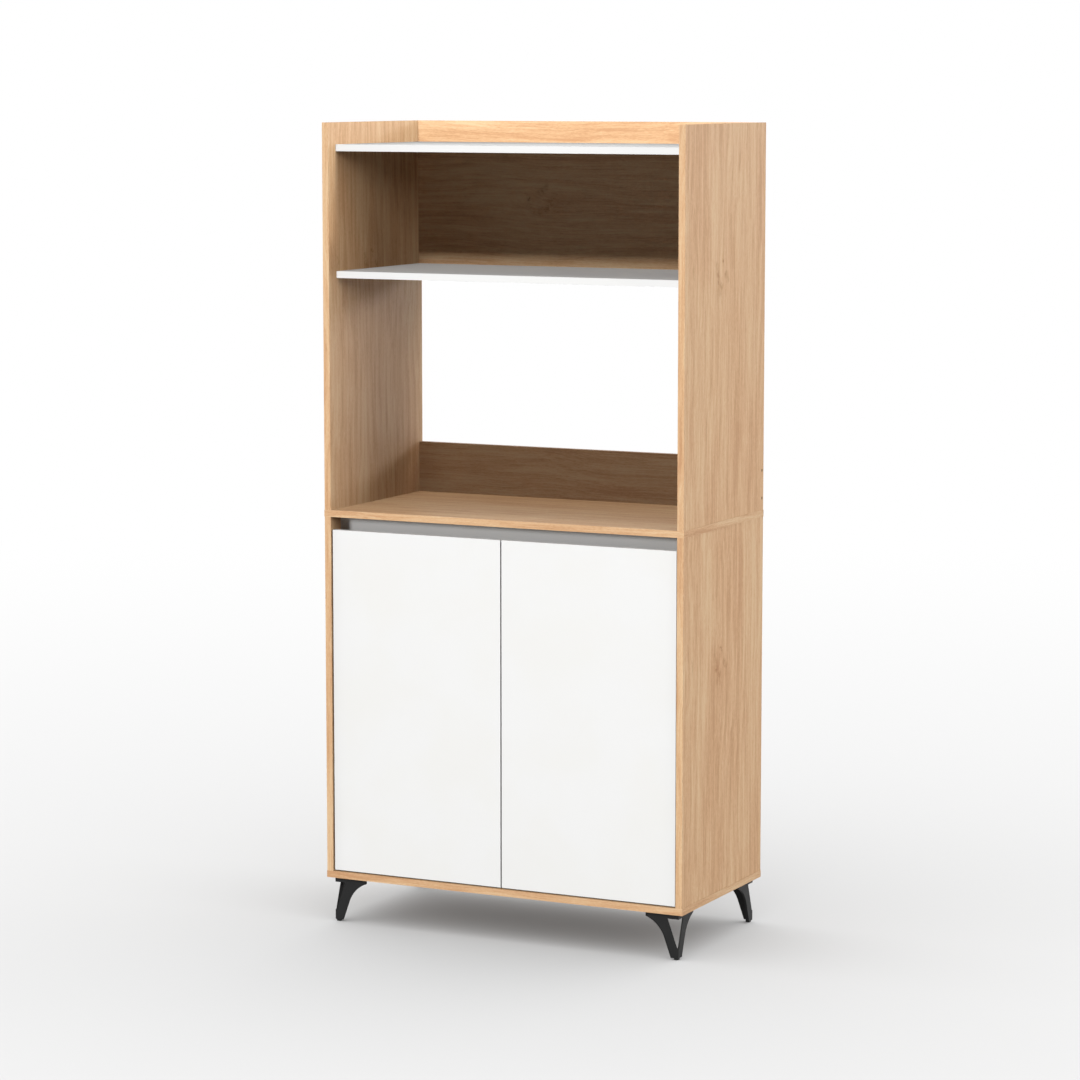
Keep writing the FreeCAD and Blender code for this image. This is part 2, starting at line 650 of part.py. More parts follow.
def bent_strip(corners):
    """A sheet-metal strip along the corners, with a round bend at each one."""
    edges = []
    start = corners[0]
    for before, corner, after in zip(corners, corners[1:], corners[2:]):
        arriving = corner - before
        leaving = after - corner
        arriving.normalize()
        leaving.normalize()
        bend_start = corner - arriving * ARM_BEND_RADIUS
        bend_end = corner + leaving * ARM_BEND_RADIUS
        edges.append(Part.makeLine(start, bend_start))
        edges.append(tangent_arc(bend_start, arriving, bend_end))
        start = bend_end
    edges.append(Part.makeLine(start, corners[-1]))
    half = ARM_STRIP_WIDTH / 2
    first = corners[0]
    rear = [
        Vector(first.x - ARM_SHEET / 2, first.y, -half),
        Vector(first.x + ARM_SHEET / 2, first.y, -half),
        Vector(first.x + ARM_SHEET / 2, first.y, half),
        Vector(first.x - ARM_SHEET / 2, first.y, half),
    ]
    section = Part.makePolygon(rear + [rear[0]])
    return Part.Wire(edges).makePipeShell([section], True, False)


def make_arm():
    """The cranked arm: a bent strip with a knuckle, widened to a channel over its plate."""
    corners = arm_path_corners()
    rear, bend = corners[0], corners[1]
    half_strip = ARM_STRIP_WIDTH / 2
    knuckle = rod(KNUCKLE_RADIUS, Vector(0, 0, -half_strip), ALONG_Z, ARM_STRIP_WIDTH)
    half = ARM_BODY_WIDTH / 2
    web_low = rear.x - ARM_SHEET / 2
    web_high = rear.x + ARM_SHEET / 2
    flange_low = web_low - PLATE_RAIL_HEIGHT + ARM_FLANGE_LIFT
    start = bend.y + ARM_FLANGE_START
    web = box(web_low, web_high, start, rear.y, -half, half)
    walls = [
        box(flange_low, web_high, start, rear.y, -half, -half + ARM_SHEET),
        box(flange_low, web_high, start, rear.y, half - ARM_SHEET, half),
    ]
    arm = bent_strip(corners).fuse([knuckle, web] + walls).removeSplitter()
    bore = rod(
        HINGE_PIN_RADIUS + HINGE_PIN_CLEARANCE, Vector(0, 0, -half_strip), ALONG_Z, ARM_STRIP_WIDTH
    )
    clamp_hole = rod(
        CLAMP_SCREW["shank"] + FIT_CLEARANCE, clamp_point() - ALONG_X * ARM_SHEET, ALONG_X, ARM_SHEET
    )
    return arm.cut([bore, clamp_hole])


def plate_y():
    """The line of the mounting plate's screws, measured from the hinge pivot."""
    return door_back() + PLATE_SETBACK


def clamp_point():
    """Where the clamping screw's head sits on the arm."""
    return Vector(arm_path_corners()[0].x + ARM_SHEET / 2, plate_y() + CLAMP_SCREW_SHIFT, 0)


def plate_face():
    """The side board's inner face, measured from the hinge pivot."""
    return -PIVOT_IN - DOOR_SIDE_GAP


def plate_screw_points():
    """The two screws through a mounting plate's wings."""
    half = PLATE_SCREW_SPACING / 2
    top = plate_face() + PLATE_BASE
    return [Vector(top, plate_y(), -half), Vector(top, plate_y(), half)]


def make_plate():
    """The mounting plate: two wings on the side board and the rail that the arm sits on."""
    face = plate_face()
    top = face + PLATE_BASE
    half_wing = PLATE_WING_WIDTH / 2
    middle = plate_y()
    wings = box(face, top, middle - half_wing, middle + half_wing, -PLATE_WING_LENGTH, PLATE_WING_LENGTH)
    wings = wings.makeFillet(half_wing * CORNER_ROUND_SHARE, edges_along(wings, ALONG_X))
    half_rail = ARM_BODY_WIDTH / 2 - ARM_SHEET - PLATE_RAIL_CLEARANCE
    half_length = PLATE_RAIL_LENGTH / 2
    rail_top = top + PLATE_RAIL_HEIGHT
    rail = box(face, rail_top, middle - half_length, middle + half_length, -half_rail, half_rail)
    plate = wings.fuse(rail).removeSplitter()
    bores = [
        rod(PLATE_SCREW["shank"] + FIT_CLEARANCE, point - ALONG_X * PLATE_BASE, ALONG_X, PLATE_BASE)
        for point in plate_screw_points()
    ]
    clamp_depth = CLAMP_SCREW["length"] + FIT_CLEARANCE
    clamp = rod(CLAMP_SCREW["shank"] + FIT_CLEARANCE, clamp_point(), ALONG_X * -1, clamp_depth)
    return plate.cut(bores + [clamp])


def place_hinges():
    """Two hinges for each door, with the holes that they need in the door and in the side."""
    into_door = ALONG_Y * -1
    into_side = ALONG_X * -1
    pieces = {
        "hinge_cups": [make_cup()],
        "hinge_pins": [make_pin()],
        "hinge_arms": [make_arm()],
        "hinge_plates": [make_plate()],
        "cup_screws": [
            placed(screw(CUP_SCREW), point + ALONG_Y * CUP_FLANGE, into_door)
            for point in cup_screw_points()
        ],
        "hinge_plate_screws": [
            placed(screw(PLATE_SCREW), point, into_side)
            for point in plate_screw_points()
        ],
        "arm_clamp_screws": [placed(screw(CLAMP_SCREW), clamp_point(), into_side)],
    }
    door_cuts = [rod(
        CUP_RADIUS + FIT_CLEARANCE,
        Vector(CUP_PIVOT_OFFSET, door_back(), 0),
        into_door,
        DOOR_THICKNESS - CUP_COVER + FIT_CLEARANCE,
    )]
    pilot = CUP_SCREW["shank"] + FIT_CLEARANCE
    pilot_depth = CUP_SCREW["length"] - CUP_FLANGE + FIT_CLEARANCE
    door_cuts += [rod(pilot, point, into_door, pilot_depth) for point in cup_screw_points()]
    side_pilot = PLATE_SCREW["shank"] + FIT_CLEARANCE
    side_depth = PLATE_SCREW["length"] - PLATE_BASE + FIT_CLEARANCE
    side_cuts = [
        rod(side_pilot, point - ALONG_X * PLATE_BASE, into_side, side_depth)
        for point in plate_screw_points()
    ]
    for z in HINGE_LEVELS:
        at = Vector(PIVOT_X, PIVOT_Y, z)
        for node, solids in pieces.items():
            for solid in solids:
                left = solid.translated(at)
                fit(f"left_{node}", left)
                fit(f"right_{node}", mirrored(left))
        for cutter in door_cuts:
            left = cutter.translated(at)
            drill("left_door", left)
            drill("right_door", mirrored(left))
        for cutter in side_cuts:
            left = cutter.translated(at)
            drill("lower_left_side", left)
            drill("lower_right_side", mirrored(left))


def make_doors():
    """Two plain doors with softened front edges, before drilling."""
    hinge_edge = -INNER_X + DOOR_SIDE_GAP
    free_edge = hinge_edge + DOOR_WIDTH
    back = DOOR_FRONT + DOOR_THICKNESS
    left = box(hinge_edge, free_edge, DOOR_FRONT, back, DOOR_BOTTOM_Z, DOOR_TOP_Z)
    front_edges = [edge for edge in left.Edges if edge.BoundBox.YMax < DOOR_FRONT + DOOR_EDGE_RADIUS / 2]
    left = left.makeFillet(DOOR_EDGE_RADIUS, front_edges)
    panels["left_door"] = left
    panels["right_door"] = mirrored(left)


def save_pieces():
    """Drill the boards and write one STEP file for each node."""
    os.makedirs("parts", exist_ok=True)
    for name, board in panels.items():
        piece = board.cut(holes[name]) if name in holes else board
        piece.exportStep(f"parts/{name}.step")
    for name, solids in hardware.items():
        Part.makeCompound(solids).exportStep(f"parts/{name}.step")


make_boards()
make_back()
make_doors()
join_boards()
place_legs()
place_hinges()
save_pieces()
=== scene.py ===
import math
from typing import NamedTuple

import bmesh
import bpy
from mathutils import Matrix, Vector


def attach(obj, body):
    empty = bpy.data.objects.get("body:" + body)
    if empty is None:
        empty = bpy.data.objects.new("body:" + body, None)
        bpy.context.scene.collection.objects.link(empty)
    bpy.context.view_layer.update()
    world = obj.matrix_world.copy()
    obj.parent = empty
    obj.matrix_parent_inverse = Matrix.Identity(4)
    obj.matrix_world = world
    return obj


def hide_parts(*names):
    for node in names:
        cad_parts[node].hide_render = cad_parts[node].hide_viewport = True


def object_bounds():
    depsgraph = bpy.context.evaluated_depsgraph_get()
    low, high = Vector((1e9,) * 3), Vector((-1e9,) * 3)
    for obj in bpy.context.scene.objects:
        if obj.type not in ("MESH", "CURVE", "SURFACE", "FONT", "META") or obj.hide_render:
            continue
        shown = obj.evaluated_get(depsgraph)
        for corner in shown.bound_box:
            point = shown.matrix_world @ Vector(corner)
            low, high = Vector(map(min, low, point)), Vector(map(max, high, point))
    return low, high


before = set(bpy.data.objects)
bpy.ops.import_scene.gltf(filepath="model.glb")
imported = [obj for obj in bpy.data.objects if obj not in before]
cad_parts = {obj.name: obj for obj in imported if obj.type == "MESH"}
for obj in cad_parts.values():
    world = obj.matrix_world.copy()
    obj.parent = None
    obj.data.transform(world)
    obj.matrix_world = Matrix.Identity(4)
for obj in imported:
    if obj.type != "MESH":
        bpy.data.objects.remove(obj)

bl_info = {
    "name": "Kitchen cabinet finishes",
    "version": (1, 0, 0),
    "blender": (4, 5, 0),
    "location": "View3D > Sidebar > Cabinet",
    "description": "Finishes, screws and studio stage for a tall kitchen cabinet",
    "category": "Object",
}

CAD_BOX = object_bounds()

UPRIGHT_BOARDS = ("lower_left_side", "lower_right_side", "upper_left_side", "upper_right_side")
LEVEL_BOARDS = ("bottom_panel", "counter_panel", "niche_back_rail", "upper_back_panel")
WHITE_BOARDS = ("open_shelf", "top_panel", "grip_rail", "inner_shelf")
DOORS = ("left_door", "right_door")
LEGS = ("front_left_leg", "front_right_leg", "back_left_leg", "back_right_leg")
SIDES = ("left", "right")

# What each lamp lights: only these nodes, or all but these and the floor. The number is its width,
# as a multiple of the lamp size.
LAMPS = {
    "front": ("EXCLUDE", ("upper_back_panel", "niche_back_rail", "grip_rail"), 2.0),
    "lip": ("INCLUDE", ("upper_back_panel",), 1.0),
    "gap": ("INCLUDE", ("grip_rail",), 1.0),
    "niche": ("INCLUDE", ("niche_back_rail",), 2.0),
    "tray": ("INCLUDE", ("upper_left_side",), 0.3),
    "left": ("EXCLUDE", (), 2.0),
    "right": ("EXCLUDE", (), 2.0),
    "back": ("EXCLUDE", (), 1.0),
}

# Knots printed on the boards: (across, along) in metres from the cabinet's own origin
KNOTS = {
    "upper_right_side": (-0.0165, 1.495),
    "lower_right_side": (-0.014, 0.654),
    "upper_left_side": (-0.020, 1.4985),
    "upper_back_panel": (1.610, 0.137),
}

# One knot's marks: (across, along, half width, half length) in metres from its dot, and how dark
KNOT_MARKS = (
    (0.0, 0.0, 0.004, 0.004, 0.85),
    (-0.031, -0.013, 0.007, 0.010, 0.45),
    (-0.026, -0.031, 0.009, 0.012, 0.62),
    (-0.024, -0.044, 0.008, 0.008, 0.80),
    (-0.008, -0.056, 0.012, 0.008, 0.55),
    (0.019, -0.034, 0.008, 0.008, 0.70),
    (0.029, -0.043, 0.006, 0.006, 0.45),
    (-0.016, -0.064, 0.022, 0.024, 0.30),
    (-0.154, -0.020, 0.005, 0.014, 0.35),
)

# Screw sets: node, body that it rides on, record slot, head form
SCREW_SETS = (
    ("leg_screws", "carcass", "zinc_steel", "pan"),
    ("body_screws", "carcass", "zinc_steel", "flat"),
    ("rail_screws", "carcass", "dark_screw", "flat"),
    ("left_cup_screws", "left_door", "hinge_steel", "pan"),
    ("right_cup_screws", "right_door", "hinge_steel", "pan"),
    ("left_hinge_plate_screws", "carcass", "hinge_steel", "pan"),
    ("right_hinge_plate_screws", "carcass", "hinge_steel", "pan"),
    ("left_arm_clamp_screws", "carcass", "hinge_steel", "pan"),
    ("right_arm_clamp_screws", "carcass", "hinge_steel", "pan"),
)

SCREW_SIZES = (
    "Head radius", "Crown radius", "Shoulder depth", "Head height", "Seat radius", "Shank radius",
    "Point length", "Length", "Recess reach", "Recess width", "Recess depth",
)

# Detailed screws: step under the head and weld, in metres, the tip's radius as a share of the
# shank's, and the rim of a flat head as a share of its height
SEAT_STEP = 0.00002
WELD = 0.000002
TIP_SHARE = 0.5
FLAT_RIM = 0.08

# Reading a plain screw: distances in metres that count as none, and decimals that are kept
SAME_POINT = 1e-6
SAME_LEVEL = 2e-5
LEVEL_DIGITS = 5
SIZE_DIGITS = 6

SENSOR_WIDTH = 36.0
WHITE_LIGHT = (1.0, 1.0, 1.0, 1.0)

# How far a face has to point along an axis to count as facing that way
FACING = 0.5


class Layer(NamedTuple):
    """A layer of noise: cells to the metre across and along the grain, octaves, their roughness."""

    across: float
    along: float
    detail: float = 2.0
    roughness: float = 0.5


class Surface(NamedTuple):
    """How a surface of one colour is broken up. An edge is two levels of noise, with the change
    between them."""

    cloud: Layer
    cloud_edge: tuple
    second_tone: tuple  # as a multiple of the colour
    gloss_layer: str
    gloss_edge: tuple
    gloss_spread: tuple  # roughness below and above the mean
    relief: float
    relief_depth: float  # metres


NOISE_MIDDLE = 0.5

OAK_SWAY = Layer(4.0, 2.0)
OAK_BROAD = Layer(11.0, 1.2, detail=1.0)
OAK_STREAK = Layer(75.0, 3.5, detail=4.0, roughness=0.62)
OAK_LINE = Layer(320.0, 7.0, detail=3.0, roughness=0.6)
OAK_FIBRE = Layer(900.0, 110.0, detail=3.0, roughness=0.65)
OAK_PORES = Layer(620.0, 26.0, detail=1.0)
# Shares of the broad, streak, line and fibre layers in the oak's tone
OAK_TONE = (0.15, 0.36, 0.24, 0.25)
# Shares of the line, pore and fibre layers in the oak's relief
OAK_RELIEF = (0.6, -0.8, 0.5)
OAK_RELIEF_STRENGTH = 0.1
OAK_RELIEF_DEPTH = 0.0002
OAK_MID_EDGE = (0.41, 0.51)
OAK_DARK_EDGE = (0.49, 0.59)
OAK_GLOSS_EDGE = (0.2, 0.8)
OAK_GLOSS_SPREAD = (0.06, 0.08)
OAK_SPECULAR = 0.58
PORE_EDGE = (0.63, 0.74)
PORE_TINT = 0.12
# How far the grain wanders, and the stretch of it from one board to the next, in metres
SWAY_REACH = 0.06
GRAIN_SHIFT = (0.37, 0.61, 1.7)

# The swell that bends the grain round a knot, given as a mark is, and how far it pulls the grain
KNOT_SWELL = (-0.006, -0.028, 0.030, 0.085)
KNOT_PULL = 0.5
# Ragged edges of the marks, and how far they reach across and along, in metres
KNOT_RAGGED = Layer(95.0, 95.0, detail=3.0)
KNOT_TEAR_ACROSS = 0.022
KNOT_TEAR_ALONG = 0.030
KNOT_FEATHER = Layer(330.0, 150.0, detail=3.0)
FEATHER_EDGE = (0.30, 0.62)
FEATHER_LEAST = 0.45

LAMINATE_PEBBLE = Layer(1600.0, 1600.0, detail=1.0)
LAMINATE_SPECULAR = 0.4
LAMINATE = Surface(
    cloud=Layer(5.0, 5.0, detail=3.0), cloud_edge=(0.35, 0.7), second_tone=(0.985, 0.98, 0.965),
    gloss_layer="cloud", gloss_edge=(0.3, 0.7), gloss_spread=(0.05, 0.06),
    relief=0.12, relief_depth=0.0001,
)
MOULDED = Surface(
    cloud=Layer(30.0, 30.0), cloud_edge=(0.45, 0.8), second_tone=(1.3, 1.3, 1.3),
    gloss_layer="grain", gloss_edge=(0.3, 0.7), gloss_spread=(0.06, 0.1),
    relief=0.35, relief_depth=0.00015,
)
METAL = Surface(
    cloud=Layer(70.0, 70.0, detail=3.0), cloud_edge=(0.4, 0.75), second_tone=(0.8, 0.8, 0.8),
    gloss_layer="grain", gloss_edge=(0.25, 0.75), gloss_spread=(0.08, 0.1),
    relief=0.15, relief_depth=0.0001,
)
LEG_GRAIN = Layer(1300.0, 1300.0)
PIN_GRAIN = Layer(1800.0, 1800.0)
FINE_LINES = Layer(60.0, 2600.0)
CAST_GRAIN = Layer(1500.0, 1500.0)

# Metals: colour setting, roughness, grain, and how metallic
METALS = {
    "hinge_steel": ("steel", 0.34, FINE_LINES, 0.65),
    "hinge_screw": ("steel", 0.28, CAST_GRAIN, 0.65),
    "bright_zinc": ("zinc", 0.34, CAST_GRAIN, 1.0),
    "zinc_bolt": ("zinc", 0.36, CAST_GRAIN, 1.0),
    "cast_cam": ("cast", 0.48, CAST_GRAIN, 1.0),
    "dark_screw": ("bronze", 0.5, CAST_GRAIN, 1.0),
}
# The metal of the screws in each record slot
SCREW_METALS = {
    "zinc_steel": "bright_zinc", "dark_screw": "dark_screw", "hinge_steel": "hinge_screw",
}

HARDBOARD_FLECK = Layer(190.0, 190.0, detail=6.0, roughness=0.75)
HARDBOARD_CLOUD = Layer(14.0, 14.0, detail=4.0)
HARDBOARD_WEAVE = Layer(900.0, 900.0, detail=1.0)
HARDBOARD_EDGE = (0.36, 0.66)
HARDBOARD_DARK = 0.78
HARDBOARD_PALE = 1.16
HARDBOARD_CLOUDING = 0.35
HARDBOARD_SPECULAR = 0.3
RAW_ROUGHNESS = 0.82
LACQUER_ROUGHNESS = 0.45

DOWEL_FLECK = Layer(900.0, 160.0)
DOWEL_EDGE = (0.35, 0.7)
DOWEL_DARK = 0.75
DOWEL_ROUGHNESS = 0.7

# Relief of raw fibre: strength, and depth in metres
FIBRE_RELIEF = 0.3
FIBRE_DEPTH = 0.0002


def srgb(red, green, blue):
    """A display colour, 0 to 255, as linear light."""
    def linear(value):
        level = value / 255
        return level / 12.92 if level <= 0.04045 else ((level + 0.055) / 1.055) ** 2.4

    return (linear(red), linear(green), linear(blue))


def tint(name, description, red, green, blue):
    """A colour property with a display colour as its default."""
    return bpy.props.FloatVectorProperty(
        name=name, description=description, subtype="COLOR", size=3, min=0.0, max=1.0,
        default=srgb(red, green, blue),
    )


def length(name, description, default):
    """A length property in metres."""
    return bpy.props.FloatProperty(
        name=name, description=description, default=default, min=0.0, precision=5, unit="LENGTH"
    )


def share(name, description, default):
    """A property between nought and one."""
    return bpy.props.FloatProperty(
        name=name, description=description, default=default, min=0.0, max=1.0, subtype="FACTOR"
    )


def angle(name, description, degrees):
    """An angle property, given in degrees."""
    return bpy.props.FloatProperty(
        name=name, description=description, default=math.radians(degrees), subtype="ANGLE"
    )


def watts(name, description, default):
    """A lamp's power."""
    return bpy.props.FloatProperty(
        name=name, description=description, default=default, min=0.0, unit="POWER"
    )


class CabinetFinish(bpy.types.PropertyGroup):
    """Colours and gloss of the cabinet's materials."""

    wood_light: tint("Wood light", "Palest streaks of the printed oak", 231, 196, 153)
    wood_mid: tint("Wood middle", "Main tone of the printed oak", 221, 177, 132)
    wood_dark: tint("Wood dark", "Darker streaks of the printed oak", 202, 152, 108)
    wood_knot: tint("Wood knot", "Knots and pores of the printed oak", 164, 102, 40)
    white: tint("White board", "Laminate of the shelves and the top", 246, 246, 245)
    door: tint("White door", "Laminate of the doors", 248, 248, 247)
    hardboard: tint("Hardboard", "Raw rear face of the cupboard's back", 166, 127, 91)
    leg: tint("Leg", "Black moulded plastic", 22, 22, 22)
    steel: tint("Hinge steel", "Nickel-plated pressings", 206, 207, 208)
    zinc: tint("Zinc", "Bright zinc screws and bolts", 190, 191, 194)
    cast: tint("Cast zinc", "Cam discs", 168, 168, 168)
    bronze: tint("Dark screw", "Brown screws at the niche rail", 92, 66, 46)
    beech: tint("Dowel", "Bare beech", 214, 178, 134)
    pin: tint("Shelf pin", "Natural plastic of the shelf supports", 226, 226, 222)
    wood_roughness: share("Wood roughness", "Roughness of the printed boards", 0.55)
    white_roughness: share("White roughness", "Roughness of the white boards", 0.42)


class CabinetScrews(bpy.types.PropertyGroup):
    """Shape of the screw heads, as shares of each screw's own head."""

    crown: share("Crown", "Top of a pan head, as a share of its radius", 0.68)
    shoulder: share("Shoulder", "Straight part of a pan head, as a share of its height", 0.45)
    recess_reach: share("Recess reach", "Arm of the cross, as a share of the head's radius", 0.6)
    recess_width: share("Recess width", "Width of the cross, as a share of the head's radius", 0.2)
    recess_depth: share("Recess depth", "Depth of the cross, as a share of the head's height", 0.6)
    point: share("Point", "Tapered end, as a share of the screw's length", 0.2)
    sides: bpy.props.IntProperty(
        name="Sides", description="Sides of each round face", default=28, min=8, max=64
    )


class CabinetStage(bpy.types.PropertyGroup):
    """Camera, lamps and floor."""

    camera_place: bpy.props.FloatVectorProperty(
        name="Camera place", description="Where the camera stands", size=3, subtype="TRANSLATION",
        unit="LENGTH", default=(3.51933, -7.16102, 1.88329),
    )
    camera_yaw: angle("Camera yaw", "Turn to the left of straight ahead", 26.23534)
    camera_pitch: angle("Camera pitch", "Tilt down from level", 7.27777)
    lens: bpy.props.FloatProperty(
        name="Lens", description="Focal length in millimetres", default=120.825, min=1.0
    )
    floor_tone: tint("Floor", "Studio floor, lit to near white by its own lamp", 188, 188, 188)
    floor_glow: share("Floor glow", "Even light of the floor, as the camera sees it", 0.09)
    floor_bounce: share("Floor bounce", "How much light the floor gives back to the object", 0.2)
    floor_size: length("Floor size", "Edge of the square floor", 90.0)
    fade_start: length("Fade start", "Distance at which the floor starts to turn white", 1.0)
    fade_end: length("Fade end", "Distance at which the floor is white", 7.0)
    sheet_size: length("Sheet size", "Edge of the overhead light for the floor alone", 40.0)
    sheet_height: length("Sheet height", "Height of the overhead sheet of light", 5.0)
    sheet_power: watts("Sheet", "Power of the overhead sheet of light", 8600.0)
    lamp_distance: length("Lamp distance", "From the object's middle to each lamp", 18.0)
    lamp_size: length("Lamp size", "Edge of each square lamp", 3.6)
    lamp_bounces: bpy.props.IntProperty(
        name="Lamp bounces", description="How often a lamp's light is passed on between surfaces",
        default=0, min=0,
    )
    front_azimuth: angle("Front azimuth", "Turn of the front lamp to the right", 5.0)
    front_elevation: angle("Front elevation", "Height of the front lamp above level", 24.0)
    front_power: watts("Front lamp", "Power of the lamp in front", 2950.0)
    lip_azimuth: angle("Lip azimuth", "Turn of the lamp for the lip on top", 0.0)
    lip_elevation: angle("Lip elevation", "Height of the lamp for the lip on top", 39.0)
    lip_power: watts("Lip lamp", "Power of the lamp for the lip on top", 4700.0)
    gap_azimuth: angle("Gap azimuth", "Turn of the lamp for the finger gap", -30.0)
    gap_elevation: angle("Gap elevation", "Height of the lamp for the finger gap", 12.0)
    gap_power: watts("Gap lamp", "Power of the lamp for the finger gap", 1120.0)
    niche_azimuth: angle("Niche azimuth", "Turn of the lamp for the niche rail", 0.0)
    niche_elevation: angle("Niche elevation", "Height of the lamp for the niche rail", 20.0)
    niche_power: watts("Niche lamp", "Power of the lamp for the niche rail", 300.0)
    tray_azimuth: angle("Tray azimuth", "Turn of the lamp for the tray's left side", 90.0)
    tray_elevation: angle("Tray elevation", "Height of the lamp for the tray's left side", 20.0)
    tray_power: watts("Tray lamp", "Power of the lamp for the tray's left side", 1000.0)
    left_azimuth: angle("Left azimuth", "Turn of the left lamp", -86.0)
    left_elevation: angle("Left elevation", "Height of the left lamp above level", 15.0)
    left_power: watts("Left lamp", "Power of the lamp at the left", 1700.0)
    right_azimuth: angle("Right azimuth", "Turn of the right lamp", 86.0)
    right_elevation: angle("Right elevation", "Height of the right lamp above level", 15.0)
    right_power: watts("Right lamp", "Power of the lamp at the right", 1700.0)
    back_azimuth: angle("Back azimuth", "Turn of the back lamp", 171.0)
    back_elevation: angle("Back elevation", "Height of the back lamp above level", 16.0)
    back_power: watts("Back lamp", "Power of the lamp behind", 1400.0)
    sky_strength: bpy.props.FloatProperty(
        name="Sky", description="Strength of the even light from all round", default=0.05, min=0.0
    )


class Nodes:
    """A node tree, with short calls for what the finishes, the sky and the screws share."""

    def __init__(self, tree):
        self.tree = tree
        tree.nodes.clear()

    def put(self, socket, value):
        """Link an output to a socket, or set the socket's own value."""
        if isinstance(value, bpy.types.NodeSocket):
            self.tree.links.new(value, socket)
        else:
            socket.default_value = value

    def add(self, kind, **inputs):
        """A new node, with its inputs given by name, with _ for a space."""
        node = self.tree.nodes.new(kind)
        for name, value in inputs.items():
            self.put(node.inputs[name.replace("_", " ")], value)
        return node

    def math(self, operation, first, second=0.0):
        node = self.add("ShaderNodeMath")
        node.operation = operation
        self.put(node.inputs[0], first)
        self.put(node.inputs[1], second)
        return node.outputs[0]

    def seen(self):
        """One for a ray from the camera, or from gloss or glass, and nought for light."""
        path = self.add("ShaderNodeLightPath").outputs
        seen = path["Is Camera Ray"]
        for ray in ("Is Glossy Ray", "Is Transmission Ray"):
            seen = self.math("MAXIMUM", seen, path[ray])
        return seen


class Finish(Nodes):
    """A material under construction, with short calls for the nodes that the finishes share."""

    def __init__(self, name):
        self.material = bpy.data.materials.new(name)
        self.material.use_nodes = True
        super().__init__(self.material.node_tree)
        self.shader = self.add("ShaderNodeBsdfPrincipled")
        self.output = self.add("ShaderNodeOutputMaterial", Surface=self.shader.outputs["BSDF"])
        coordinates = self.add("ShaderNodeTexCoord")
        self.place = coordinates.outputs["Object"]
        self.facing = coordinates.outputs["Normal"]

    def weighted(self, layers, weights):
        """The sum of layers, each times its weight."""
        total, *others = (self.math("MULTIPLY", *pair) for pair in zip(layers, weights))
        for other in others:
            total = self.math("ADD", total, other)
        return total

    def vector_math(self, operation, first, second=(0.0, 0.0, 0.0)):
        node = self.add("ShaderNodeVectorMath")
        node.operation = operation
        self.put(node.inputs[0], first)
        self.put(node.inputs[1], second)
        return node.outputs["Value" if operation == "LENGTH" else "Vector"]

    def split(self, vector):
        return self.add("ShaderNodeSeparateXYZ", Vector=vector).outputs

    def join(self, x, y, z):
        return self.add("ShaderNodeCombineXYZ", X=x, Y=y, Z=z).outputs[0]

    def layer(self, vector, layer):
        """Cloudy noise, stretched along the grain."""
        cells = self.vector_math("MULTIPLY", vector, (layer.across, layer.across, layer.along))
        noise = self.add("ShaderNodeTexNoise", Vector=cells, Scale=1.0, Detail=layer.detail,
                         Roughness=layer.roughness)
        return noise.outputs[0]

    def ease(self, value, edge, start=0.0, end=1.0):
        """A smooth step from start to end while the value crosses an edge."""
        low, high = edge
        node = self.add("ShaderNodeMapRange", Value=value, From_Min=low, From_Max=high,
                        To_Min=start, To_Max=end)
        node.interpolation_type = "SMOOTHSTEP"
        return node.outputs["Result"]

    def gloss(self, value, edge, roughness, spread):
        """Roughness that rises from under its mean to above it while a value crosses an edge."""
        less, more = spread
        return self.ease(value, edge, roughness - less, roughness + more)

    def mix(self, kind, factor, first, second):
        """The first of two values where the factor is nought, the second where it is one."""
        node = self.add("ShaderNodeMix")
        node.data_type = kind
        self.put(node.inputs[0], factor)
        sockets = [socket for socket in node.inputs if socket.type == kind]
        for socket, value in zip(sockets[-2:], (first, second)):
            self.put(socket, value)
        return next(socket for socket in node.outputs if socket.type == kind)

    def blend(self, factor, *colours):
        """A colour between two colours."""
        first, second = (
            colour if isinstance(colour, bpy.types.NodeSocket) else (*colour, 1.0)
            for colour in colours
        )
        return self.mix("RGBA", factor, first, second)

    def bump(self, height, strength, depth):
        node = self.add("ShaderNodeBump", Strength=strength, Distance=depth, Height=height)
        self.put(self.shader.inputs["Normal"], node.outputs["Normal"])

    def set(self, **sockets):
        """Set the shader's own sockets by name, with _ for a space."""
        for name, value in sockets.items():
            self.put(self.shader.inputs[name.replace("_", " ")], value)

    def dress(self, *names):
        """Give this material to CAD nodes."""
        for name in names:
            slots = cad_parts[name].data.materials
            slots.clear()
            slots.append(self.material)


def grain_vector(finish, grain):
    """Coordinates (across, across, along): the grain follows one axis, and the band on a board's
    ends runs from front to back."""
    x, y, z = finish.split(finish.place)
    facing_x, _, facing_z = finish.split(finish.facing)
    if grain == "Z":
        along_board, end_facing = finish.join(x, y, z), facing_z
    else:
        along_board, end_facing = finish.join(y, z, finish.math("MULTIPLY", x, -1.0)), facing_x
    on_end = finish.math("GREATER_THAN", finish.math("ABSOLUTE", end_facing), FACING)
    return finish.mix("VECTOR", on_end, along_board, finish.join(x, z, y))


